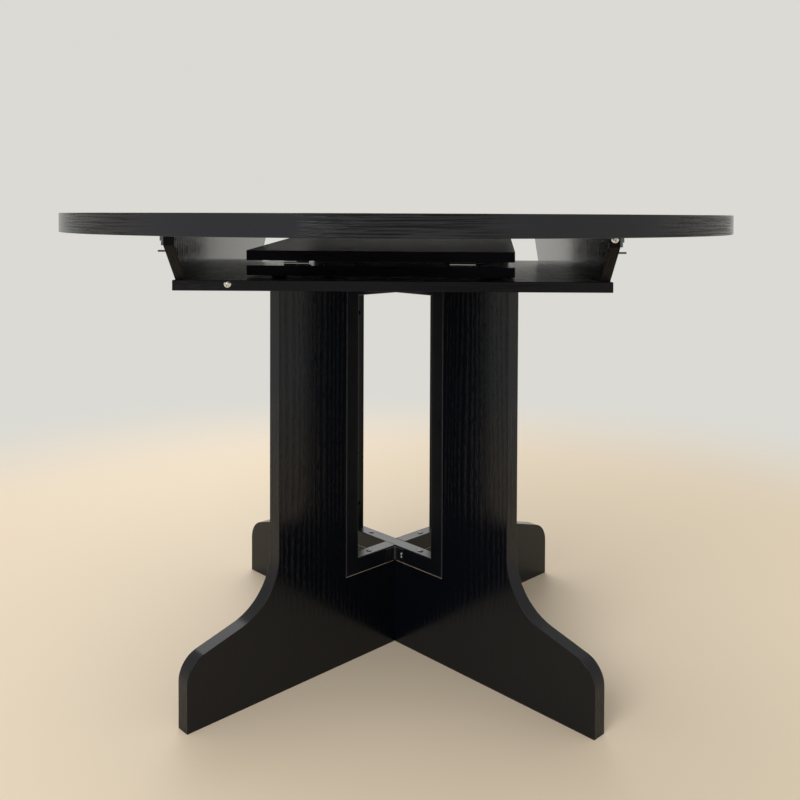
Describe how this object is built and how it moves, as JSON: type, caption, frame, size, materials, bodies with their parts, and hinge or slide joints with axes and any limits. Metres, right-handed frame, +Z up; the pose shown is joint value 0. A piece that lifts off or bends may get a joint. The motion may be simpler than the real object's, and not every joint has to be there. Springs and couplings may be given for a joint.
{
  "type": "oval extension dining table",
  "caption": "Round pedestal dining table whose split top slides apart to take a hinged leaf, stored in the bay below, for an oval top.",
  "frame": {"origin": "on the floor under the middle of the pedestal, which is the middle of the closed top", "axes": "+X to the right along the split of the top, +Y to the back along the slides, +Z up"},
  "size_m": [1.112, 1.1118, 0.75],
  "materials": {
    "black_ash_board": "black ash melamine, fine pores, semi-matt",
    "black_edging": "black wood-grain ABS edging, semi-matt",
    "black_steel": "satin black powder coat",
    "zinc_steel": "bright zinc plate",
    "nickel_steel": "nickel plate, semi-bright",
    "felt": "dark grey felt",
    "beech": "turned beech, unfinished"
  },
  "bodies": {
    "base": {"leg_board_a": "black_ash_board", "leg_board_b": "black_ash_board", "leg_bands_a": "black_edging", "leg_bands_b": "black_edging", "frame_closed": "black_steel", "frame_half_near": "black_steel", "frame_half_far": "black_steel", "corner_brackets": "black_steel", "bracket_screws": "zinc_steel", "frame_side_screws": "zinc_steel", "frame_sill_screws": "zinc_steel", "frame_shelf_screws": "zinc_steel", "shelf": "black_ash_board", "shelf_bands": "black_edging", "side_panel_left": "black_ash_board", "side_panel_right": "black_ash_board", "panel_end_bands": "black_edging", "panel_screws": "zinc_steel", "round_screws": "nickel_steel", "track_left": "zinc_steel", "track_right": "zinc_steel", "track_screws": "zinc_steel", "stop_pegs": "zinc_steel", "leaf_pads": "felt"},
    "front_half": {"top_front": "black_ash_board", "rim_strips_front": "black_ash_board", "edge_band_front": "black_edging", "alignment_pins": "beech", "rail_front_left": "zinc_steel", "rail_front_right": "zinc_steel", "rail_screws_front": "zinc_steel"},
    "rear_half": {"top_rear": "black_ash_board", "rim_strips_rear": "black_ash_board", "edge_band_rear": "black_edging", "rail_rear_left": "zinc_steel", "rail_rear_right": "zinc_steel", "rail_screws_rear": "zinc_steel"},
    "leaf_lower_panel": {"leaf_lower": "black_ash_board", "leaf_lower_strip": "black_ash_board", "leaf_lower_bands": "black_edging", "hinge_plates_lower": "nickel_steel", "hinge_pins": "nickel_steel", "hinge_screws_lower": "zinc_steel"},
    "leaf_upper_panel": {"leaf_upper": "black_ash_board", "leaf_upper_strip": "black_ash_board", "leaf_upper_bands": "black_edging", "hinge_plates_upper": "nickel_steel", "hinge_screws_upper": "zinc_steel"}
  },
  "joints": [
    {"name": "front_half_slide", "type": "slide", "parent": "base", "child": "front_half", "axis": [0, -1, 0], "range_m": [0, 0.2]},
    {"name": "rear_half_slide", "type": "slide", "parent": "base", "child": "rear_half", "axis": [0, 1, 0], "range_m": [0, 0.2]},
    {"name": "leaf_slide_out", "type": "slide", "parent": "base", "child": "leaf_lower_panel", "axis": [0, -1, 0], "range_m": [0, 1.1]},
    {"name": "leaf_fold", "type": "hinge", "parent": "leaf_lower_panel", "child": "leaf_upper_panel", "pos_m": [-0.021, -0.254, 0.67625], "axis": [0.9962, -0.0872, 0], "range_deg": [0, 1.5]}
  ]
}
